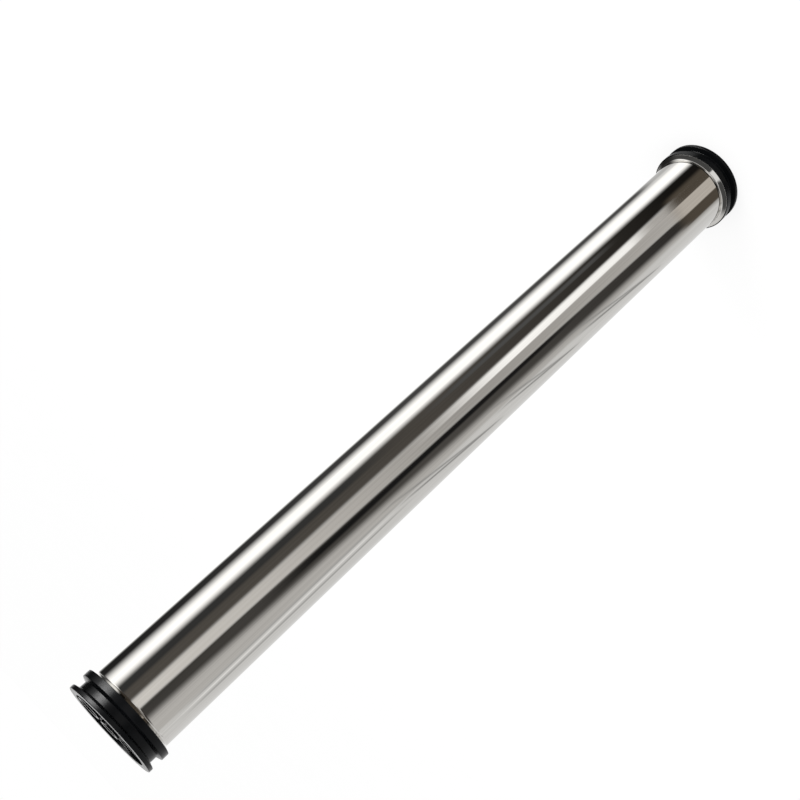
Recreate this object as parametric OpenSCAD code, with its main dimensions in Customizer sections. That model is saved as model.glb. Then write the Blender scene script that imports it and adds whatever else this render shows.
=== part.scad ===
// Membrane pressure vessel: a flared stainless tube that holds one spiral-wound membrane element
// between two moulded end caps. It stands on its feed end, with the axis of the tube along +Z.

/* [Element] */
// Length of the element over both ends of its permeate tube
element_l = 1016; // [520:1:1100]
// Outside diameter of the element's wrap
element_d = 99; // [90:0.5:112]
// Thickness of the glass-fibre wrap
wrap_t = 1.2; // [0.8:0.1:2]
// Outside diameter of the permeate tube
permeate_tube_d = 19; // [17:0.1:21]
// Bore of the permeate tube
permeate_tube_bore = 14; // [10:0.5:15]
// Length of permeate tube that stands out of each end spider
stub_l = 26; // [23:0.5:30]
// Height of an end spider
spider_h = 16; // [12:0.5:24]
// Width of the outer ring of a spider
spider_ring_w = 5; // [4.5:0.5:8]
// Outside diameter of a spider's hub
spider_hub_d = 30; // [25:0.5:34]
// Number of spokes in a spider
spoke_count = 12; // [6:1:16]
// Width of a spoke
spoke_w = 2.6; // [2:0.1:4]
// Width of the groove that holds the brine seal
brine_groove_w = 8; // [6:0.5:10]
// Depth of the groove that holds the brine seal
brine_groove_depth = 3; // [2:0.1:4]

/* [Shell] */
// Gap between the element's wrap and the bore of the tube
bore_gap = 1.5; // [1.2:0.1:2.5]
// Wall of the tube
wall_t = 2; // [1.2:0.1:2.5]
// Inside radius of the bend between tube and lip
lip_bend_r = 3; // [2:0.1:3.5]
// Angle of the lip from the plane of the flange
lip_angle = 30; // [20:1:36]
// Reach of the lip beyond the outside of the tube
lip_reach = 6; // [5:0.1:7.5]
// Radius on the edges of the lip
lip_edge_r = 0.5; // [0.2:0.1:0.7]

/* [End cap] */
// Reach of both flanges beyond the edge of the lip
flange_reach = 1.3; // [1.1:0.1:3]
// Width of the outer flange's rim
outer_flange_w = 5; // [4:0.1:9]
// Depth of the clamp groove below the flanges
groove_depth = 6.55; // [5:0.05:7.5]
// Width of the floor of the clamp groove
groove_w = 8.4; // [6:0.1:12]
// Axial run of each sloping wall of the clamp groove
groove_run = 2.25; // [1:0.05:3]
// Width of the clamp flange's rim, up to the back of the lip that it holds
clamp_flange_w = 8.4; // [7.5:0.1:11]
// Radius on the flange edges
edge_r = 0.9; // [0.4:0.1:1.2]
// Radius on the edges of the collar round the lip
collar_edge_r = 0.4; // [0.2:0.05:0.4]
// Length of the straight plug inside the tube
plug_l = 36; // [31:0.2:42]
// Lead-in chamfer at the tip of the plug
lead_in = 1.5; // [0.5:0.1:2.5]
// Wall between the clamp groove and the ribbed recess
rim_wall = 4; // [3:0.1:6]
// Depth of the ribbed recess in the outer face
recess_depth = 26; // [22:0.5:28]
// Distance of the ribs below the outer face
rib_set_back = 2; // [1:0.5:6]
// Number of ribs
rib_count = 8; // [4:1:12]
// Thickness of a rib
rib_t = 3; // [2:0.1:4]
// Web between the ribbed recess and the plenum
web_t = 16; // [14:0.5:18]
// Wall of the plug between its seal grooves and the plenum
plug_wall = 4; // [3:0.1:6]

/* [Ports] */
// Thread core diameter of the side port
side_port_d = 24.1; // [18:0.1:26]
// Thread length of the side port
side_port_l = 18; // [14:0.5:20]
// Waterway behind the side port
side_waterway_d = 20; // [14:0.5:21]
// Thread core diameter of the permeate port
permeate_port_d = 18.6; // [15:0.1:20]
// Thread length of the permeate port
permeate_port_l = 16; // [12:0.5:18]
// Waterway behind the permeate port and through the adapter
permeate_waterway_d = 14; // [8:0.5:15]
// Wall of both port bosses
boss_wall = 3.6; // [3:0.1:4]

/* [Permeate adapter] */
// Outside diameter of the adapter
adapter_d = 29; // [28:0.1:31]
// Floor of the adapter under the permeate tube
adapter_floor_t = 2.5; // [2:0.1:4]
// Wall of the socket round the adapter
socket_wall = 4; // [3:0.1:5]
// Depth of the adapter's mouth below the tip of the plug
adapter_set_back = 1; // [0.5:0.1:2]

/* [Seals] */
// Section of the two head seals on a plug
head_seal_d = 3.55; // [3:0.05:4]
// Distance of the first head seal from the root of the plug
head_seal_start = 8; // [5:0.5:11]
// Distance between the head seals
head_seal_pitch = 12; // [8:0.5:14]
// Section of the adapter's seals
adapter_seal_d = 2.4; // [2:0.05:2.6]
// Distance between the adapter's seals along its axis
adapter_seal_pitch = 7; // [5:0.1:7.5]
// Share of its section by which a seal stands out of its groove
seal_proud = 0.14; // [0.1:0.01:0.2]

/* [Clearances] */
// Gap between an end cap and the shell
fit_gap = 0.25; // [0.15:0.05:0.4]
// Gap between a seal and the wall that it slides on
seal_gap = 0.1; // [0.05:0.01:0.15]
// Gap between pieces that are bonded or pressed together
seat_gap = 0.05; // [0.02:0.01:0.1]
// Play of the element between the two plugs, at each end
end_play = 0.5; // [0.3:0.1:2]
// Gap between the permeate tube and the adapter's socket
tube_gap = 0.25; // [0.15:0.05:0.4]

/* [Hidden] */
$fn = 96;
arc_steps = 8;

// Radii
core_r = permeate_tube_d / 2;
wrap_r = element_d / 2;
bore_r = wrap_r + bore_gap;
tube_r = bore_r + wall_t;
lip_r = tube_r + lip_reach;
flange_r = lip_r + flange_reach;
collar_r = lip_r + fit_gap;
groove_r = flange_r - groove_depth;
plug_r = bore_r - fit_gap;
recess_r = groove_r - rim_wall;
boss_r = permeate_port_d / 2 + boss_wall;
side_boss_r = side_port_d / 2 + boss_wall;
side_port_x = (boss_r + recess_r) / 2;
roll_r = wrap_r - wrap_t - seat_gap;
socket_r = adapter_d / 2 + seat_gap;
tube_socket_r = core_r + tube_gap;

// Heights in an end cap, from its outer face towards the middle of the vessel
groove_z = outer_flange_w + groove_run;
clamp_flange_z = groove_z + groove_w + groove_run;
rim_top_z = clamp_flange_z + clamp_flange_w;
bend_x = tube_r + lip_bend_r;
outer_bend_r = lip_bend_r + wall_t;
seat_bend_r = outer_bend_r + fit_gap;
bend_z = rim_top_z + (lip_r - bend_x) * tan(lip_angle) + lip_bend_r / cos(lip_angle);
plug_top_z = bend_z + plug_l;
web_top_z = recess_depth + web_t;
spider_z = plug_top_z + end_play;
stub_z = spider_z - stub_l;
socket_z = stub_z - end_play - tube_gap - adapter_floor_t;
adapter_top_z = plug_top_z - adapter_set_back;

// Seals: a groove is as deep as the part of the section that does not stand out of it
head_seal_depth = head_seal_d * (1 - seal_proud);
adapter_seal_depth = adapter_seal_d * (1 - seal_proud);
head_seal_zs = [bend_z + head_seal_start, bend_z + head_seal_start + head_seal_pitch];
adapter_seal_zs = [for (i = [2:-1:0]) adapter_top_z - adapter_seal_pitch * (i + 0.5)];
plenum_r = plug_r - head_seal_depth - plug_wall;

// Heights in the vessel
total_l = 2 * stub_z + element_l;
roll_z = spider_z + spider_h;
roll_l = total_l - 2 * roll_z;

// Height at radius x of the face of the lip that is tangent to a circle of radius r round its bend
function lip_z(x, r) = bend_z - r / cos(lip_angle) - (x - bend_x) * tan(lip_angle);

// Direction of a vector, as a vector of length 1
function unit(v) = v / norm(v);

// Points of an arc of radius r that rounds the corner p between its neighbours a and b
function corner_arc(a, p, b, r) =
    let (u = unit(a - p), v = unit(b - p), half = acos(u * v) / 2)
    let (c = p + unit(u + v) * r / sin(half))
    let (first = p + u * r / tan(half) - c, last = p + v * r / tan(half) - c)
    let (sweep = 180 - 2 * half)
    [for (i = [0:arc_steps]) let (t = sweep * i / arc_steps)
        c + (first * sin(sweep - t) + last * sin(t)) / sin(sweep)];

// Outline through corners [x, y, radius], each rounded by its own radius
function rounded(corners) =
    let (n = len(corners), at = [for (k = corners) [k.x, k.y]])
    [for (i = [0:n - 1]) each corners[i].z == 0 ? [at[i]]
        : corner_arc(at[(i + n - 1) % n], at[i], at[(i + 1) % n], corners[i].z)];

// Places children at the concentrate end, turned to face the other way
module at_concentrate_end() {
    translate([0, 0, total_l]) rotate([180, 0, 0]) children();
}

// Tube with a flared lip at each end, drawn from one piece
module shell() {
    inner_z = lip_z(bore_r, outer_bend_r);
    outer_z = lip_z(tube_r, lip_bend_r);
    seat_z = lip_z(lip_r, outer_bend_r);
    back_z = lip_z(lip_r, lip_bend_r);
    color("silver") rotate_extrude() polygon(rounded([
        [lip_r, seat_z, lip_edge_r],
        [bore_r, inner_z, outer_bend_r],
        [bore_r, total_l - inner_z, outer_bend_r],
        [lip_r, total_l - seat_z, lip_edge_r],
        [lip_r, total_l - back_z, lip_edge_r],
        [tube_r, total_l - outer_z, lip_bend_r],
        [tube_r, outer_z, lip_bend_r],
        [lip_r, back_z, lip_edge_r]
    ]));
}

// Half section of an end cap: outer flange, clamp groove, clamp flange with collar, seat and plug
module end_cap_section() {
    polygon(rounded([
        [0, 0, 0],
        [flange_r, 0, edge_r],
        [flange_r, outer_flange_w, edge_r],
        [groove_r, groove_z, edge_r],
        [groove_r, groove_z + groove_w, edge_r],
        [flange_r, clamp_flange_z, edge_r],
        [flange_r, rim_top_z, collar_edge_r],
        [collar_r, rim_top_z, collar_edge_r],
        [collar_r, lip_z(collar_r, seat_bend_r), 0],
        [plug_r, lip_z(plug_r, seat_bend_r), seat_bend_r],
        [plug_r, plug_top_z - lead_in, 0],
        [plug_r - lead_in, plug_top_z, 0],
        [0, plug_top_z, 0]
    ]));
}

// Groove for a seal that stands out of the plug
module head_seal_grooves() {
    groove_width = head_seal_d * 1.3;
    for (z = head_seal_zs) {
        translate([plug_r - head_seal_depth, z - groove_width / 2])
            square([2 * head_seal_depth, groove_width]);
    }
}

// Solid of revolution of the cap, with the ribbed recess outside and the plenum inside
module end_cap_body() {
    hub_r = socket_r + socket_wall;
    rotate_extrude() difference() {
        end_cap_section();
        head_seal_grooves();
        polygon([
            [boss_r, -edge_r],
            [recess_r, -edge_r],
            [recess_r, recess_depth],
            [hub_r, recess_depth],
            [boss_r, recess_depth - hub_r + boss_r]
        ]);
        translate([hub_r, web_top_z]) square([plenum_r - hub_r, plug_top_z]);
    }
}

// Ribs between the permeate port and the rim, and the boss of the side port
module end_cap_ribs() {
    for (i = [0:rib_count - 1]) {
        rotate(360 / rib_count * i) translate([0, -rib_t / 2, rib_set_back])
            cube([recess_r + rim_wall / 8, rib_t, recess_depth - rib_set_back + web_t / 8]);
    }
    translate([side_port_x, 0, 0]) cylinder(r = side_boss_r, h = recess_depth + web_t / 2);
}

// Stepped bore: thread core from the outer face, then the waterway behind it
module port(thread_d, thread_l, waterway_d, end_z) {
    translate([0, 0, -1]) cylinder(d = thread_d, h = thread_l + 1);
    cylinder(d = waterway_d, h = end_z);
}

// Moulded cap that plugs the tube, with its permeate port on the axis and its side port beside it
module end_cap() {
    color("#17181a") difference() {
        union() {
            end_cap_body();
            end_cap_ribs();
        }
        port(permeate_port_d, permeate_port_l, permeate_waterway_d, plug_top_z);
        translate([0, 0, socket_z]) cylinder(r = socket_r, h = plug_top_z);
        translate([side_port_x, 0, 0]) port(side_port_d, side_port_l, side_waterway_d, plug_top_z);
    }
}

// Round seal of a given section whose outside or inside touches its groove
module seal_ring(centre_r, z, section_d) {
    color("#232323") translate([0, 0, z]) rotate_extrude() translate([centre_r, 0]) circle(d = section_d);
}

// Head seal in one of the plug's grooves, pressed to just clear the bore
module head_seal(i) {
    squeezed_d = bore_r - seal_gap - (plug_r - head_seal_depth) - seat_gap;
    seal_ring(bore_r - seal_gap - squeezed_d / 2, head_seal_zs[i], squeezed_d);
}

// Sleeve that joins the permeate tube to the permeate port, with grooves for its three seals
module permeate_adapter() {
    groove_width = adapter_seal_d * 1.25;
    color("#e8e6df") rotate_extrude() difference() {
        translate([permeate_waterway_d / 2, socket_z])
            square([adapter_d / 2 - permeate_waterway_d / 2, adapter_top_z - socket_z]);
        translate([0, socket_z + adapter_floor_t]) square([tube_socket_r, plug_top_z]);
        translate([adapter_d / 2 - adapter_seal_depth, adapter_seal_zs[0] - groove_width / 2])
            square([adapter_d, groove_width]);
        for (z = [adapter_seal_zs[1], adapter_seal_zs[2]]) {
            translate([0, z - groove_width / 2]) square([tube_socket_r + adapter_seal_depth, groove_width]);
        }
    }
}

// Seal between the adapter and its socket in the end cap
module adapter_socket_seal() {
    floor_r = adapter_d / 2 - adapter_seal_depth + seat_gap;
    squeezed_d = socket_r - seat_gap - floor_r;
    seal_ring(floor_r + squeezed_d / 2, adapter_seal_zs[0], squeezed_d);
}

// Seal between the adapter and the permeate tube that slides in it
module tube_seal(i) {
    floor_r = tube_socket_r + adapter_seal_depth - seat_gap;
    squeezed_d = floor_r - core_r - seal_gap;
    seal_ring(floor_r - squeezed_d / 2, adapter_seal_zs[i], squeezed_d);
}

// Tube at the core of the element, which collects the permeate
module permeate_tube() {
    color("#f2f1ec") translate([0, 0, stub_z]) difference() {
        cylinder(r = core_r, h = element_l);
        translate([0, 0, -1]) cylinder(d = permeate_tube_bore, h = element_l + 2);
    }
}

// Leaves of membrane and spacer wound round the permeate tube
module membrane_roll() {
    color("#d9d3bd") translate([0, 0, roll_z]) difference() {
        cylinder(r = roll_r, h = roll_l);
        translate([0, 0, -1]) cylinder(r = core_r + seat_gap, h = roll_l + 2);
    }
}

// Hard glass-fibre skin round the roll
module element_wrap() {
    color("#e9e4c8") translate([0, 0, roll_z]) difference() {
        cylinder(r = wrap_r, h = roll_l);
        translate([0, 0, -1]) cylinder(r = wrap_r - wrap_t, h = roll_l + 2);
    }
}

// Spoked disc that keeps the leaves from telescoping, flat on the end of the roll
module end_spider() {
    hub_r = spider_hub_d / 2;
    inner_r = wrap_r - spider_ring_w;
    color("#f0eee6") translate([0, 0, spider_z]) difference() {
        union() {
            difference() {
                cylinder(r = wrap_r, h = spider_h);
                translate([0, 0, -1]) cylinder(r = inner_r, h = spider_h + 2);
            }
            cylinder(r = hub_r, h = spider_h);
            for (i = [0:spoke_count - 1]) {
                rotate(360 / spoke_count * i) translate([0, -spoke_w / 2, 0])
                    cube([inner_r + spider_ring_w / 2, spoke_w, spider_h]);
            }
        }
        translate([0, 0, -1]) cylinder(r = core_r + seat_gap, h = spider_h + 2);
    }
}

// Spider at the feed end, with the groove that holds the brine seal
module feed_end_spider() {
    floor_r = wrap_r - brine_groove_depth;
    color("#f0eee6") difference() {
        end_spider();
        translate([0, 0, spider_z + (spider_h - brine_groove_w) / 2]) difference() {
            cylinder(r = bore_r, h = brine_groove_w);
            translate([0, 0, -1]) cylinder(r = floor_r, h = brine_groove_w + 2);
        }
    }
}

// Cup seal round the element: its lip opens towards the feed and almost touches the bore
module brine_seal() {
    floor_r = wrap_r - brine_groove_depth + seat_gap;
    tip_r = bore_r - seal_gap;
    low_z = spider_z + (spider_h - brine_groove_w) / 2 + seat_gap;
    high_z = low_z + brine_groove_w - 2 * seat_gap;
    lip_t = brine_groove_depth / 3;
    color("#1f1f1f") rotate_extrude() polygon([
        [floor_r, low_z],
        [floor_r + lip_t, low_z],
        [floor_r + lip_t, high_z - 2 * lip_t],
        [floor_r + 1.6 * lip_t, high_z - 2 * lip_t],
        [tip_r - lip_t / 2, low_z],
        [tip_r, low_z],
        [wrap_r, high_z - lip_t],
        [floor_r + 2 * lip_t, high_z],
        [floor_r, high_z]
    ]);
}

shell();
end_cap();  // feed_end_cap
head_seal(0);  // feed_first_head_seal
head_seal(1);  // feed_second_head_seal
permeate_adapter();  // feed_permeate_adapter
adapter_socket_seal();  // feed_adapter_socket_seal
tube_seal(1);  // feed_first_tube_seal
tube_seal(2);  // feed_second_tube_seal
at_concentrate_end() end_cap();  // concentrate_end_cap
at_concentrate_end() head_seal(0);  // concentrate_first_head_seal
at_concentrate_end() head_seal(1);  // concentrate_second_head_seal
at_concentrate_end() permeate_adapter();  // concentrate_permeate_adapter
at_concentrate_end() adapter_socket_seal();  // concentrate_adapter_socket_seal
at_concentrate_end() tube_seal(1);  // concentrate_first_tube_seal
at_concentrate_end() tube_seal(2);  // concentrate_second_tube_seal
permeate_tube();
membrane_roll();
element_wrap();
feed_end_spider();
at_concentrate_end() end_spider();  // concentrate_end_spider
brine_seal();
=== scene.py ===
"""Looks of the membrane pressure vessel: polished shell, moulded caps, seals and the wound element inside."""

import math

import bmesh
import bpy
import numpy as np
from mathutils import Matrix, Vector


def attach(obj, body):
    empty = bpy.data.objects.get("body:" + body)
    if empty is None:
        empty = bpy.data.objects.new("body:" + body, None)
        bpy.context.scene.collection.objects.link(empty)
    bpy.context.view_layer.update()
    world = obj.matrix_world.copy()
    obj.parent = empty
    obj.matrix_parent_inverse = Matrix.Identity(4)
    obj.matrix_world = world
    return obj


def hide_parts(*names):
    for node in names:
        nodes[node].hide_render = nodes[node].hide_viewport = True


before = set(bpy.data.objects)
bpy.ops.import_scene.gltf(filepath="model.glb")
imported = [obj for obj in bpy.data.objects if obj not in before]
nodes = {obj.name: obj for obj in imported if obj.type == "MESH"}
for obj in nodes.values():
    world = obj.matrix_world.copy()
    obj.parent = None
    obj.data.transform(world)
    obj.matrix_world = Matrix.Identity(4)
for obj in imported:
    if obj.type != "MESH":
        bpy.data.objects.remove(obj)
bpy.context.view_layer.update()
scene = bpy.context.scene
scene.view_settings.view_transform = "Standard"

MM = 0.001

# Sizes of the vessel, in millimetres
TOTAL_L = 1099.9923
BORE_R = 51.0
TUBE_R = 53.0
LIP_R = 59.0
LIP_BEND_R = 3.0
LIP_ANGLE = math.radians(30)
LIP_EDGE_R = 0.5
BEND_X = TUBE_R + LIP_BEND_R
BEND_Z = 31.4962
SIDE_PORT_X = 31.325
SIDE_PORT_R = 12.05
SIDE_PORT_L = 18.0
PERMEATE_PORT_R = 9.3
PERMEATE_PORT_L = 16.0
THREAD_PITCH = 1.814
THREAD_RIDGE_R = 0.55
THREAD_START = 1.5
SPARE_TURNS = 2.0

# Mesh of the shell: segments round it, radius of the path that its section follows in millimetres, and
# how far beside its arcs the support points stand
SHELL_SEGMENTS = 256
SHELL_PATH_R = 50.0
ARC_SUPPORT = 0.3


# Small helpers

def linear(hex_colour):
    """Linear RGBA of an sRGB hex colour."""
    parts = [int(hex_colour[i:i + 2], 16) / 255 for i in (1, 3, 5)]
    return tuple(c / 12.92 if c <= 0.04045 else ((c + 0.055) / 1.055) ** 2.4 for c in parts) + (1.0,)


def add(tree, kind, inputs=None, **settings):
    """Adds a node with its settings, and its inputs as values or as links from other nodes' sockets."""
    node = tree.nodes.new(kind)
    for name, value in settings.items():
        setattr(node, name, value)
    for name, value in (inputs or {}).items():
        if isinstance(value, bpy.types.NodeSocket):
            tree.links.new(value, node.inputs[name])
        else:
            node.inputs[name].default_value = value
    return node


def ramp(node, *stops):
    """Sets the stops of a colour ramp, each a place and a colour."""
    elements = node.color_ramp.elements
    while len(elements) < len(stops):
        elements.new(0.5)
    for element, (place, colour) in zip(elements, stops):
        element.position = place
        element.color = colour
    return node


def grey(level):
    """Grey of a given linear level."""
    return (level, level, level, 1.0)


def material(name):
    """New material with an empty tree, its tree and its Object coordinates in metres."""
    made = bpy.data.materials.new(name)
    made.use_nodes = True
    tree = made.node_tree
    tree.nodes.clear()
    place = add(tree, "ShaderNodeTexCoord").outputs["Object"]
    return made, tree, place


def surface(tree, shader):
    """Links a shader to the material's output."""
    add(tree, "ShaderNodeOutputMaterial", {"Surface": shader.outputs["BSDF"]})


# Materials

def polished_stainless():
    """Drawn stainless tube, belt polished: mirror bands, faint draw lines and a slow waviness."""
    made, tree, place = material("polished_stainless_drawn_tube")
    # Draw lines about 1.5 mm apart round the tube and half a metre long
    lines = add(tree, "ShaderNodeMapping", {"Vector": place, "Scale": (650.0, 650.0, 2.0)})
    streak = add(tree, "ShaderNodeTexNoise", {"Vector": lines.outputs[0], "Scale": 1.0, "Detail": 3.0})
    # Waviness of the wall, about 110 mm along the tube and 40 mm across
    swell = add(tree, "ShaderNodeMapping", {"Vector": place, "Scale": (26.0, 26.0, 9.0)})
    wave = add(tree, "ShaderNodeTexNoise", {"Vector": swell.outputs[0], "Scale": 1.0, "Detail": 1.0})
    rough = add(tree, "ShaderNodeMapRange", {"Value": streak.outputs[0], "From Min": 0.3, "From Max": 0.7,
                                             "To Min": 0.035, "To Max": 0.06})
    tint = ramp(add(tree, "ShaderNodeValToRGB", {"Fac": streak.outputs[0]}),
                (0.35, linear("#CFCDC9")), (0.65, linear("#D8D6D2")))
    fine = add(tree, "ShaderNodeBump", {"Height": streak.outputs[0], "Strength": 0.03, "Distance": 0.0002})
    soft = add(tree, "ShaderNodeBump", {"Height": wave.outputs[0], "Strength": 0.06, "Distance": 0.002,
                                        "Normal": fine.outputs[0]})
    surface(tree, add(tree, "ShaderNodeBsdfPrincipled", {
        "Base Color": tint.outputs[0], "Metallic": 1.0, "Roughness": rough.outputs[0],
        "Normal": soft.outputs[0]}))
    return made


def moulded_nylon():
    """Glass-filled nylon, injection moulded: black with a satin skin, a fine fibre grain and cloudy gloss."""
    made, tree, place = material("moulded_glass_filled_nylon")
    # Fibre grain about 0.7 mm across, gloss clouds about 25 mm across
    grain = add(tree, "ShaderNodeTexNoise", {"Vector": place, "Scale": 1400.0, "Detail": 2.0})
    cloud = add(tree, "ShaderNodeTexNoise", {"Vector": place, "Scale": 40.0, "Detail": 2.0})
    tint = ramp(add(tree, "ShaderNodeValToRGB", {"Fac": cloud.outputs[0]}),
                (0.3, linear("#08090A")), (0.7, linear("#0C0D0F")))
    rough = add(tree, "ShaderNodeMapRange", {"Value": cloud.outputs[0], "From Min": 0.3, "From Max": 0.7,
                                             "To Min": 0.2, "To Max": 0.26})
    bump = add(tree, "ShaderNodeBump", {"Height": grain.outputs[0], "Strength": 0.08, "Distance": 0.0001})
    surface(tree, add(tree, "ShaderNodeBsdfPrincipled", {
        "Base Color": tint.outputs[0], "Roughness": rough.outputs[0], "IOR": 1.5, "Specular IOR Level": 0.1,
        "Normal": bump.outputs[0]}))
    return made


def moulded_rubber():
    """Nitrile rubber, moulded and greased: deep grey-black with a dull sheen in patches."""
    made, tree, place = material("moulded_nitrile_rubber")
    # Grease patches about 12 mm across
    patch = add(tree, "ShaderNodeTexNoise", {"Vector": place, "Scale": 80.0, "Detail": 3.0})
    tint = ramp(add(tree, "ShaderNodeValToRGB", {"Fac": patch.outputs[0]}),
                (0.35, linear("#1A1A1A")), (0.65, linear("#242423")))
    rough = add(tree, "ShaderNodeMapRange", {"Value": patch.outputs[0], "From Min": 0.35, "From Max": 0.65,
                                             "To Min": 0.42, "To Max": 0.62})
    surface(tree, add(tree, "ShaderNodeBsdfPrincipled", {
        "Base Color": tint.outputs[0], "Roughness": rough.outputs[0], "IOR": 1.52}))
    return made


def turned_acetal():
    """Acetal turned on a lathe: off-white with fine tool rings along the axis."""
    made, tree, place = material("turned_acetal")
    # Tool rings 1.6 mm apart, drawn coarser than the real feed so that they show
    rings = add(tree, "ShaderNodeTexWave",
                {"Vector": place, "Scale": 200.0, "Distortion": 0.4, "Detail": 1.0},
                wave_type="BANDS", bands_direction="Z")
    cloud = add(tree, "ShaderNodeTexNoise", {"Vector": place, "Scale": 60.0, "Detail": 2.0})
    tint = ramp(add(tree, "ShaderNodeValToRGB", {"Fac": cloud.outputs[0]}),
                (0.3, linear("#DEDBD2")), (0.7, linear("#E8E5DD")))
    bump = add(tree, "ShaderNodeBump", {"Height": rings.outputs["Color"], "Strength": 0.1,
                                        "Distance": 0.0001})
    surface(tree, add(tree, "ShaderNodeBsdfPrincipled", {
        "Base Color": tint.outputs[0], "Roughness": 0.38, "IOR": 1.48, "Normal": bump.outputs[0]}))
    return made


def extruded_abs():
    """ABS tube, extruded: bright white, fairly glossy, with faint die lines along its length."""
    made, tree, place = material("extruded_white_abs")
    # Die lines about 1.2 mm apart
    lines = add(tree, "ShaderNodeMapping", {"Vector": place, "Scale": (800.0, 800.0, 3.0)})
    streak = add(tree, "ShaderNodeTexNoise", {"Vector": lines.outputs[0], "Scale": 1.0, "Detail": 2.0})
    tint = ramp(add(tree, "ShaderNodeValToRGB", {"Fac": streak.outputs[0]}),
                (0.3, linear("#E4E2DC")), (0.7, linear("#EEECE7")))
    bump = add(tree, "ShaderNodeBump", {"Height": streak.outputs[0], "Strength": 0.08, "Distance": 0.0001})
    surface(tree, add(tree, "ShaderNodeBsdfPrincipled", {
        "Base Color": tint.outputs[0], "Roughness": 0.28, "IOR": 1.54, "Normal": bump.outputs[0]}))
    return made


def moulded_abs():
    """ABS moulding: off-white, even satin skin with a fine grain."""
    made, tree, place = material("moulded_off_white_abs")
    # Skin grain about 0.6 mm across, shade clouds about 30 mm across
    grain = add(tree, "ShaderNodeTexNoise", {"Vector": place, "Scale": 1600.0, "Detail": 2.0})
    cloud = add(tree, "ShaderNodeTexNoise", {"Vector": place, "Scale": 33.0, "Detail": 2.0})
    tint = ramp(add(tree, "ShaderNodeValToRGB", {"Fac": cloud.outputs[0]}),
                (0.3, linear("#DCDAD2")), (0.7, linear("#E6E4DD")))
    bump = add(tree, "ShaderNodeBump", {"Height": grain.outputs[0], "Strength": 0.12, "Distance": 0.0001})
    surface(tree, add(tree, "ShaderNodeBsdfPrincipled", {
        "Base Color": tint.outputs[0], "Roughness": 0.42, "IOR": 1.54, "Normal": bump.outputs[0]}))
    return made


def wound_membrane():
    """Edges of polyester membrane leaves and spacer net, wound: tight turns of cream and dull tan."""
    made, tree, place = material("wound_membrane_leaves")
    # Turns 4.8 mm apart: each sheet is thinner, but would be too fine to show
    spiral = add(tree, "ShaderNodeTexWave",
                 {"Vector": place, "Scale": 65.0, "Distortion": 0.8, "Detail": 1.0},
                 wave_type="RINGS", rings_direction="Z", wave_profile="SAW")
    grain = add(tree, "ShaderNodeTexNoise", {"Vector": place, "Scale": 900.0, "Detail": 3.0})
    turns = ramp(add(tree, "ShaderNodeValToRGB", {"Fac": spiral.outputs["Color"]}),
                 (0.0, linear("#B9AE90")), (0.4, linear("#D8D0B6")), (0.85, linear("#E2DBC4")),
                 (1.0, linear("#8F8468")))
    tint = add(tree, "ShaderNodeMix", {"Factor": 0.25, "A": turns.outputs[0], "B": grain.outputs["Color"]},
               data_type="RGBA", blend_type="SOFT_LIGHT")
    bump = add(tree, "ShaderNodeBump", {"Height": spiral.outputs["Color"], "Strength": 0.4,
                                        "Distance": 0.0004})
    surface(tree, add(tree, "ShaderNodeBsdfPrincipled", {
        "Base Color": tint.outputs["Result"], "Roughness": 0.8, "Normal": bump.outputs[0]}))
    return made


def glass_fibre_wrap():
    """Glass rovings wound on at an angle and wet with resin: straw colour, glossy, with crossing bands."""
    made, tree, place = material("wound_glass_fibre_resin")
    # Rovings 9 mm wide, in bands that slant both ways by up to 55 degrees from level
    tilted = []
    for turn in (55.0, -55.0):
        mapped = add(tree, "ShaderNodeMapping", {"Vector": place, "Rotation": (math.radians(turn), 0.0, 0.0)})
        tilted.append(add(tree, "ShaderNodeTexWave",
                          {"Vector": mapped.outputs[0], "Scale": 17.0, "Distortion": 0.6, "Detail": 2.0,
                           "Detail Scale": 3.0}, wave_type="BANDS", bands_direction="Z"))
    cross = add(tree, "ShaderNodeMix", {"Factor": 0.5, "A": tilted[0].outputs["Color"],
                                        "B": tilted[1].outputs["Color"]}, data_type="RGBA")
    tint = ramp(add(tree, "ShaderNodeValToRGB", {"Fac": cross.outputs["Result"]}),
                (0.2, linear("#CFC59C")), (0.5, linear("#DDD5B2")), (0.8, linear("#E8E2C8")))
    bump = add(tree, "ShaderNodeBump", {"Height": cross.outputs["Result"], "Strength": 0.25,
                                        "Distance": 0.0005})
    surface(tree, add(tree, "ShaderNodeBsdfPrincipled", {
        "Base Color": tint.outputs[0], "Roughness": 0.22, "IOR": 1.55, "Normal": bump.outputs[0]}))
    return made


steel = polished_stainless()
nylon = moulded_nylon()
finishes = {
    "shell_steel": steel,
    "cap_plastic": nylon,
    "seal_rubber": moulded_rubber(),
    "adapter_plastic": turned_acetal(),
    "tube_plastic": extruded_abs(),
    "roll_membrane": wound_membrane(),
    "wrap_glass_fibre": glass_fibre_wrap(),
    "spider_plastic": moulded_abs(),
}
for node in nodes.values():
    for held in node.material_slots:
        held.material = finishes[held.material.name.split(".")[0]]


# Geometry Nodes: trees, and the plain mesh that each gives

def new_tree(name, *inputs):
    """Geometry Nodes tree with named inputs, each a name, a socket type and a value."""
    tree = bpy.data.node_groups.new(name, "GeometryNodeTree")
    tree.interface.new_socket("Geometry", in_out="INPUT", socket_type="NodeSocketGeometry")
    tree.interface.new_socket("Geometry", in_out="OUTPUT", socket_type="NodeSocketGeometry")
    for label, kind, value in inputs:
        made = tree.interface.new_socket(label, in_out="INPUT", socket_type=kind)
        if value is not None:
            made.default_value = value
    return tree, add(tree, "NodeGroupInput").outputs


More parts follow.
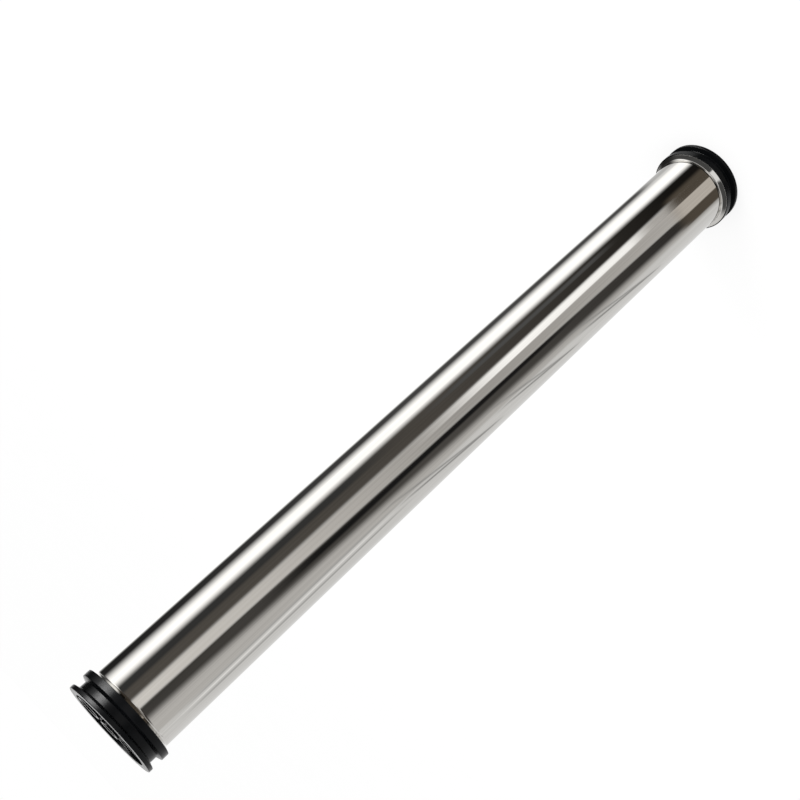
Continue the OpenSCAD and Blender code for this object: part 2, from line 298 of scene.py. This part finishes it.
def end_tree(tree, geometry, finish):
    """Ends a tree in real, smooth faces of one material."""
    real = add(tree, "GeometryNodeRealizeInstances", {"Geometry": geometry})
    smooth = add(tree, "GeometryNodeSetShadeSmooth", {"Geometry": real.outputs[0]})
    painted = add(tree, "GeometryNodeSetMaterial", {"Geometry": smooth.outputs[0], "Material": finish})
    add(tree, "NodeGroupOutput", {"Geometry": painted.outputs[0]})


def grown(name, tree, start=None, **sizes):
    """Piece that a tree grows from a starting mesh and sizes by name, as a plain mesh with no modifier."""
    piece = bpy.data.objects.new(name, start or bpy.data.meshes.new(name))
    scene.collection.objects.link(piece)
    modifier = piece.modifiers.new(name, "NODES")
    modifier.node_group = tree
    sockets = {item.name: item.identifier for item in tree.interface.items_tree if item.in_out == "INPUT"}
    for label, value in sizes.items():
        modifier[sockets[label]] = value
    graph = bpy.context.evaluated_depsgraph_get()
    mesh = bpy.data.meshes.new_from_object(piece.evaluated_get(graph), depsgraph=graph)
    piece.modifiers.clear()
    piece.data = mesh
    mesh.name = name
    return piece


def revolve_tree():
    """Turns a closed section, drawn as radius less the path's radius and as height downwards, about Z."""
    tree, given = new_tree("revolved_section", ("Segments", "NodeSocketInt", 256),
                           ("Path_radius", "NodeSocketFloat", 0.05), ("Finish", "NodeSocketMaterial", None))
    path = add(tree, "GeometryNodeCurvePrimitiveCircle", {"Resolution": given["Segments"],
                                                          "Radius": given["Path_radius"]})
    section = add(tree, "GeometryNodeMeshToCurve", {"Mesh": given["Geometry"]})
    turned = add(tree, "GeometryNodeCurveToMesh", {"Curve": path.outputs[0],
                                                   "Profile Curve": section.outputs[0]})
    end_tree(tree, turned.outputs[0], given["Finish"])
    return tree


def rounded(corners, steps=10):
    """Outline through corners (x, y, radius), with support points beside each arc to keep the flats flat."""
    outline = []
    for i, (x, y, r) in enumerate(corners):
        p = Vector((x, y))
        u = (Vector(corners[i - 1][:2]) - p).normalized()
        v = (Vector(corners[(i + 1) % len(corners)][:2]) - p).normalized()
        half = u.angle(v) / 2
        centre = p + (u + v).normalized() * r / math.sin(half)
        first, last = p + u * r / math.tan(half) - centre, p + v * r / math.tan(half) - centre
        sweep = math.pi - 2 * half
        outline.append(centre + first + u * ARC_SUPPORT)
        for k in range(steps + 1):
            t = sweep * k / steps
            outline.append(centre + (first * math.sin(sweep - t) + last * math.sin(t)) / math.sin(sweep))
        outline.append(centre + last + v * ARC_SUPPORT)
    return outline


def lip_z(x, r):
    """Height at radius x of the lip's face that touches a circle of radius r about the centre of its bend."""
    return BEND_Z - r / math.cos(LIP_ANGLE) - (x - BEND_X) * math.tan(LIP_ANGLE)


def shell_section(path_r):
    """Edge loop of the shell's wall, drawn for the revolving tree."""
    outer_bend_r = LIP_BEND_R + TUBE_R - BORE_R
    seat, inner = lip_z(LIP_R, outer_bend_r), lip_z(BORE_R, outer_bend_r)
    back, outer = lip_z(LIP_R, LIP_BEND_R), lip_z(TUBE_R, LIP_BEND_R)
    outline = rounded([
        (LIP_R, seat, LIP_EDGE_R), (BORE_R, inner, outer_bend_r),
        (BORE_R, TOTAL_L - inner, outer_bend_r), (LIP_R, TOTAL_L - seat, LIP_EDGE_R),
        (LIP_R, TOTAL_L - back, LIP_EDGE_R), (TUBE_R, TOTAL_L - outer, LIP_BEND_R),
        (TUBE_R, outer, LIP_BEND_R), (LIP_R, back, LIP_EDGE_R)])
    count = len(outline)
    mesh = bpy.data.meshes.new("shell_section")
    mesh.from_pydata([((p.x - path_r) * MM, -p.y * MM, 0.0) for p in outline],
                     [(i, (i + 1) % count) for i in range(count)], [])
    return mesh


shell = grown("polished_shell", revolve_tree(), shell_section(SHELL_PATH_R),
              Segments=SHELL_SEGMENTS, Path_radius=SHELL_PATH_R * MM, Finish=steel)


def face_outwards(piece):
    """Recalculates a closed piece's normals to point outwards."""
    work = bmesh.new()
    work.from_mesh(piece.data)
    bmesh.ops.remove_doubles(work, verts=work.verts, dist=1e-6)
    bmesh.ops.recalc_face_normals(work, faces=work.faces)
    work.to_mesh(piece.data)
    work.free()


face_outwards(shell)
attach(shell, "vessel")
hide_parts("shell")


def thread_tree():
    """Screw threads that stand in the side port and the permeate port of one cap, from its face inwards."""
    tree, given = new_tree(
        "port_threads", ("Pitch", "NodeSocketFloat", 0.0018), ("Ridge", "NodeSocketFloat", 0.0005),
        ("Side_radius", "NodeSocketFloat", 0.012), ("Side_length", "NodeSocketFloat", 0.018),
        ("Side_place", "NodeSocketVector", None), ("Permeate_radius", "NodeSocketFloat", 0.009),
        ("Permeate_length", "NodeSocketFloat", 0.016), ("Permeate_place", "NodeSocketVector", None),
        ("Place", "NodeSocketVector", None), ("Turn", "NodeSocketVector", None),
        ("Finish", "NodeSocketMaterial", None))
    ridge = add(tree, "GeometryNodeCurvePrimitiveCircle", {"Resolution": 6, "Radius": given["Ridge"]})
    threads = []
    for port in ("Side", "Permeate"):
        radius = given[port + "_radius"]
        room = add(tree, "ShaderNodeMath", {0: given[port + "_length"], 1: given["Pitch"]},
                   operation="DIVIDE")
        turns = add(tree, "ShaderNodeMath", {0: room.outputs[0], 1: SPARE_TURNS}, operation="SUBTRACT")
        height = add(tree, "ShaderNodeMath", {0: turns.outputs[0], 1: given["Pitch"]}, operation="MULTIPLY")
        helix = add(tree, "GeometryNodeCurveSpiral", {
            "Resolution": 48, "Rotations": turns.outputs[0], "Start Radius": radius, "End Radius": radius,
            "Height": height.outputs[0]})
        swept = add(tree, "GeometryNodeCurveToMesh", {
            "Curve": helix.outputs[0], "Profile Curve": ridge.outputs[0], "Fill Caps": True})
        threads.append(add(tree, "GeometryNodeTransform", {"Geometry": swept.outputs[0],
                                                           "Translation": given[port + "_place"]}))
    both = add(tree, "GeometryNodeJoinGeometry", {"Geometry": threads[0].outputs[0]})
    tree.links.new(threads[1].outputs[0], both.inputs["Geometry"])
    placed = add(tree, "GeometryNodeTransform", {"Geometry": both.outputs[0], "Translation": given["Place"],
                                                 "Rotation": given["Turn"]})
    end_tree(tree, placed.outputs[0], given["Finish"])
    return tree


threads = thread_tree()
for end, place, turn in (("feed", (0.0, 0.0, 0.0), (0.0, 0.0, 0.0)),
                         ("concentrate", (0.0, 0.0, TOTAL_L * MM), (math.pi, 0.0, 0.0))):
    piece = grown(end + "_port_threads", threads, Pitch=THREAD_PITCH * MM, Ridge=THREAD_RIDGE_R * MM,
                  Side_radius=SIDE_PORT_R * MM, Side_length=SIDE_PORT_L * MM,
                  Side_place=(SIDE_PORT_X * MM, 0.0, THREAD_START * MM),
                  Permeate_radius=PERMEATE_PORT_R * MM, Permeate_length=PERMEATE_PORT_L * MM,
                  Permeate_place=(0.0, 0.0, THREAD_START * MM), Place=place, Turn=turn, Finish=nylon)
    face_outwards(piece)
    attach(piece, end + "_head")


# Stage: floor, studio walls, lamps and world

FLOOR_HALF = 30.0
FLOOR_GLOW = 0.8


def stage_mesh(name, points, faces, finish):
    """Mesh of the stage, which is not part of the object."""
    mesh = bpy.data.meshes.new(name)
    mesh.from_pydata(points, [], faces)
    mesh.materials.append(finish)
    made = bpy.data.objects.new(name, mesh)
    scene.collection.objects.link(made)
    return made


def pale_floor():
    """Matt white floor: the camera sees it as nearly white, with a trace of the vessel's shadow."""
    made, tree, place = material("matt_white_floor")
    speck = add(tree, "ShaderNodeTexNoise", {"Vector": place, "Scale": 3.0, "Detail": 2.0})
    tint = ramp(add(tree, "ShaderNodeValToRGB", {"Fac": speck.outputs[0]}),
                (0.3, grey(0.96)), (0.7, grey(0.98)))
    matt = add(tree, "ShaderNodeBsdfDiffuse", {"Color": tint.outputs[0]})
    white = add(tree, "ShaderNodeEmission", {"Color": grey(1.0), "Strength": 1.0})
    path = add(tree, "ShaderNodeLightPath")
    share = add(tree, "ShaderNodeMath", {0: path.outputs["Is Camera Ray"], 1: FLOOR_GLOW},
                operation="MULTIPLY")
    mixed = add(tree, "ShaderNodeMixShader", {0: share.outputs[0], 1: matt.outputs[0], 2: white.outputs[0]})
    add(tree, "ShaderNodeOutputMaterial", {"Surface": mixed.outputs[0]})
    return made


floor = stage_mesh("floor", [(x * FLOOR_HALF, y * FLOOR_HALF, 0.0) for x, y in
                             ((-1, -1), (1, -1), (1, 1), (-1, 1))], [(0, 1, 2, 3)], pale_floor())
floor.visible_glossy = False

# Studio walls, seen only in reflections: soft boxes, sheets, cords and dark gaps. Each row has a name, the
# heights of its top and foot in metres, its left and right edges in degrees from +X at even steps from top
# to foot, the width of its soft edges, its light at such steps, its warmth, and how far it fades above and
# below, or None where it goes on. SPAN is the top and foot of the tall ones.
SPAN = (0.6, -3.6)
CARDS = (
    ("dim_side_wall", SPAN, (-174, -178), (-118, -140, -150), (16, 10), (0.62, 0.55), 0.1, None),
    ("back_sheet", SPAN, (58,), (98,), (24, 34), (1.2, 1.05), 0.0, None),
    ("slanted_flag", SPAN, (-131, -153, -163), (-100, -114.5, -128), (24, 9), (0.06, 0.085, 0.035), 0.3,
     None),
    ("flag_fold", (-0.2, -2.4), (-126, -131), (-112, -121), (7, 5), (0.013,), 0.0, (0.5, 0.5)),
    ("camera_side_wall", SPAN, (-100, -114.5, -128), (-76, -78, -71), (9, 14), (0.86, 0.45, 0.58), 0.15,
     None),
    ("white_sheet", (-1.6, -3.22), (-95, -93), (-75, -69.5), (4, 3), (1.5, 1.35), 0.0, (1.0, 0.25)),
    ("gap_before_box", SPAN, (-76, -77, -70), (-10,), (12, 10), (0.095, 0.08, 0.01), 0.5, None),
    ("black_flag", (0.8, -1.0), (-50,), (-30,), (10, 4), (0.045,), 0.0, (0.2, 0.6)),
    ("grey_flag", (-1.5, -2.95), (-49,), (-38,), (5, 6), (0.1,), 0.0, (0.6, 0.3)),
    ("gap_behind_box", SPAN, (-10,), (63, 61), (10, 26), (0.02, 0.075, 0.085), 0.0, None),
    ("brown_ground", (-3.54, -9.0), (-167,), (-58,), (8, 16), (0.085,), 1.0, (0.08, 0.1)),
    ("pale_ground", (-3.54, -4.15), (-133,), (-95,), (4, 4), (0.6,), 0.4, (0.08, 0.1)),
    ("pale_ground_behind", (-3.55, -9.0), (24,), (64,), (14, 10), (0.6,), 0.0, (0.2, 0.1)),
    ("strip_box", SPAN, (-24.5, -22.5), (11.5, 23), (22, 36), (1.6,), 0.0, None),
    ("hanging_cord", (0.5, -0.9), (159, 161), (166, 167), (4, 3), (0.54, 0.5), 0.0, (0.3, 0.4)),
    ("hanging_cord_light", (0.5, -0.8), (171, 173), (176, 178), (3, 3), (1.05, 1.0), 0.0, (0.3, 0.4)),
    ("hanging_cord_mate", (0.5, -0.9), (181, 183), (186, 188), (4, 4), (0.5, 0.5), 0.0, (0.3, 0.5)),
    ("upper_cord", (-1.0, -1.7), (174, 146), (180, 152), (4, 4), (0.35, 0.42), 0.0, (0.3, 0.1)),
    ("upper_cord_mate", (-0.9, -1.62), (198, 150), (203, 156), (4, 4), (0.36, 0.42), 0.0, (0.3, 0.1)),
    ("middle_cord", (-1.8, -2.4), (174, 149), (180, 155), (4, 4), (0.35, 0.42), 0.0, (0.3, 0.1)),
    ("middle_cord_mate", (-1.7, -2.32), (200, 153), (205, 159), (4, 4), (0.36, 0.42), 0.0, (0.3, 0.1)),
    ("lower_cord", (-2.5, -3.2), (176, 147), (183, 153), (4, 4), (0.35, 0.42), 0.0, (0.3, 0.1)),
    ("lower_cord_mate", (-2.4, -3.12), (202, 151), (207, 157), (4, 4), (0.36, 0.42), 0.0, (0.3, 0.1)),
    ("upper_wall", (9.0, 1.15), (-200,), (10,), (8, 20), (0.8,), 0.0, (0.1, 0.2)),
    ("dark_ceiling", (9.0, 2.6), (-200,), (200,), (8, 8), (0.08,), 0.0, (0.1, 1.6)),
    ("ceiling_lamp", (9.0, 4.0), (-140,), (-84,), (14, 10), (1.0,), 0.0, (0.1, 1.0)),
    ("dark_ground", (-4.3, -9.0), (-70,), (60,), (30, 20), (0.05,), 1.0, (0.4, 0.1)),
)

# Walls: radius, height of their ends, radius of the hole at each end, points round them, plain light, and
# how much a warm card adds to red and takes from blue
WALL_R = 4.0
WALL_END = 6.0
POLE_R = 0.02
WALL_STEPS = 481
WALL_LEVEL = 0.82
WARM_RED = 0.2
WARM_BLUE = 0.22


def rise(x, width):
    """Smooth rise from 0 to 1 over a width about x = 0."""
    t = np.clip(x / width + 0.5, 0, 1)
    return t * t * (3 - 2 * t)


def wall_light(azimuth, height):
    """Colours of the studio walls at azimuths in degrees and heights in metres."""
    light = np.full(azimuth.shape + (3,), WALL_LEVEL)
    for name, (top, foot), lefts, rights, soft, levels, warmth, fades in CARDS:
        left, right, level = (np.interp(-height, np.linspace(-top, -foot, len(values)), values)
                              for values in (lefts, rights, levels))
        across = (azimuth - (left + right) / 2 + 180) % 360 - 180
        half = (right - left) / 2
        share = rise(half + across, soft[0]) * rise(half - across, soft[1])
        if fades:
            share = share * rise(top - height, fades[0]) * rise(height - foot, fades[1])
        card = level[..., None] * np.array((1 + WARM_RED * warmth, 1.0, 1 - WARM_BLUE * warmth))
        light += (card - light) * share[..., None]
    return light


def studio_walls():
    """Round wall with a ground and a ceiling, about the vessel, that glows by its cards."""
    fine, coarse = np.arange(-4.5, 1.6, 0.05), np.arange(1.6, 6.1, 0.4)
    heights = np.concatenate(((-WALL_END, -WALL_END, -5.0), fine, coarse, (WALL_END, WALL_END)))
    azimuth, height = np.meshgrid(np.linspace(-180, 180, WALL_STEPS), heights)
    radius = np.full(azimuth.shape, WALL_R)
    radius[[0, -1]] = POLE_R
    angle = np.radians(azimuth)
    points = np.stack((radius * np.cos(angle), radius * np.sin(angle), height), -1).reshape(-1, 3)
    rows, around = azimuth.shape
    faces = [(i, i + around, i + around + 1, i + 1)
             for i in (row * around + k for row in range(rows - 1) for k in range(around - 1))]
    glow = bpy.data.materials.new("studio_glow")
    glow.use_nodes = True
    tree = glow.node_tree
    tree.nodes.clear()
    shade = add(tree, "ShaderNodeVertexColor", layer_name="light")
    lit = add(tree, "ShaderNodeEmission", {"Color": shade.outputs["Color"], "Strength": 1.0})
    add(tree, "ShaderNodeOutputMaterial", {"Surface": lit.outputs[0]})
    walls = stage_mesh("studio_walls", points.tolist(), faces, glow)
    layer = walls.data.color_attributes.new("light", "FLOAT_COLOR", "POINT")
    colours = np.ones(azimuth.shape + (4,))
    colours[..., :3] = wall_light(azimuth, height)
    layer.data.foreach_set("color", colours.ravel())
    walls.visible_camera = False
    walls.visible_diffuse = False
    walls.visible_shadow = False


studio_walls()

world = bpy.data.worlds.new("white_studio")
scene.world = world
world.use_nodes = True
world.node_tree.nodes.clear()
back = add(world.node_tree, "ShaderNodeBackground", {"Color": grey(1.0), "Strength": 1.0})
add(world.node_tree, "ShaderNodeOutputWorld", {"Surface": back.outputs[0]})


def lamp(name, place, target, width, height, power):
    """Soft lamp that is aimed at a point and does not show in reflections."""
    data = bpy.data.lights.new(name, "AREA")
    data.shape = "RECTANGLE"
    data.size = width
    data.size_y = height
    data.energy = power
    made = bpy.data.objects.new(name, data)
    scene.collection.objects.link(made)
    made.location = place
    made.rotation_euler = (Vector(target) - Vector(place)).to_track_quat("-Z", "Y").to_euler()
    made.visible_glossy = False
    return made


def gloss_strip():
    """Strip lamp that puts a soft highlight on the black caps alone: the shell has its strip on the walls."""
    strip = lamp("gloss_strip", (3.71, -1.5, 1.1), (0, 0, 1.05), 1.8, 1.1, 490)
    strip.visible_glossy = True
    strip.visible_diffuse = False
    lit = bpy.data.collections.new("caps_under_gloss_strip")
    for name in ("feed_end_cap", "concentrate_end_cap"):
        lit.objects.link(nodes[name])
    strip.light_linking.receiver_collection = lit


lamp("key", (2.6, -1.4, 2.6), (0, 0, 0.5), 1.6, 1.6, 40)
lamp("fill", (-1.8, -2.6, 1.6), (0, 0, 0.5), 1.6, 1.6, 15)
gloss_strip()

# Camera at the photograph's angle: it aims at a point in the vessel and is rolled about its view
CAMERA_PLACE = Vector((0.0, -1.19237, 1.18026))
CAMERA_AIM = Vector((-0.02086, 0.0, 0.64522))
CAMERA_ROLL = math.radians(-133.2045)
camera = bpy.data.objects.new("camera", bpy.data.cameras.new("camera"))
scene.collection.objects.link(camera)
scene.camera = camera
camera.data.sensor_width = 36
camera.data.lens = 48.692
camera.data.shift_x = -0.0186
camera.data.shift_y = 0.0885
look = (CAMERA_AIM - CAMERA_PLACE).to_track_quat("-Z", "Y").to_matrix().to_4x4()
camera.matrix_world = Matrix.Translation(CAMERA_PLACE) @ look @ Matrix.Rotation(CAMERA_ROLL, 4, "Z")
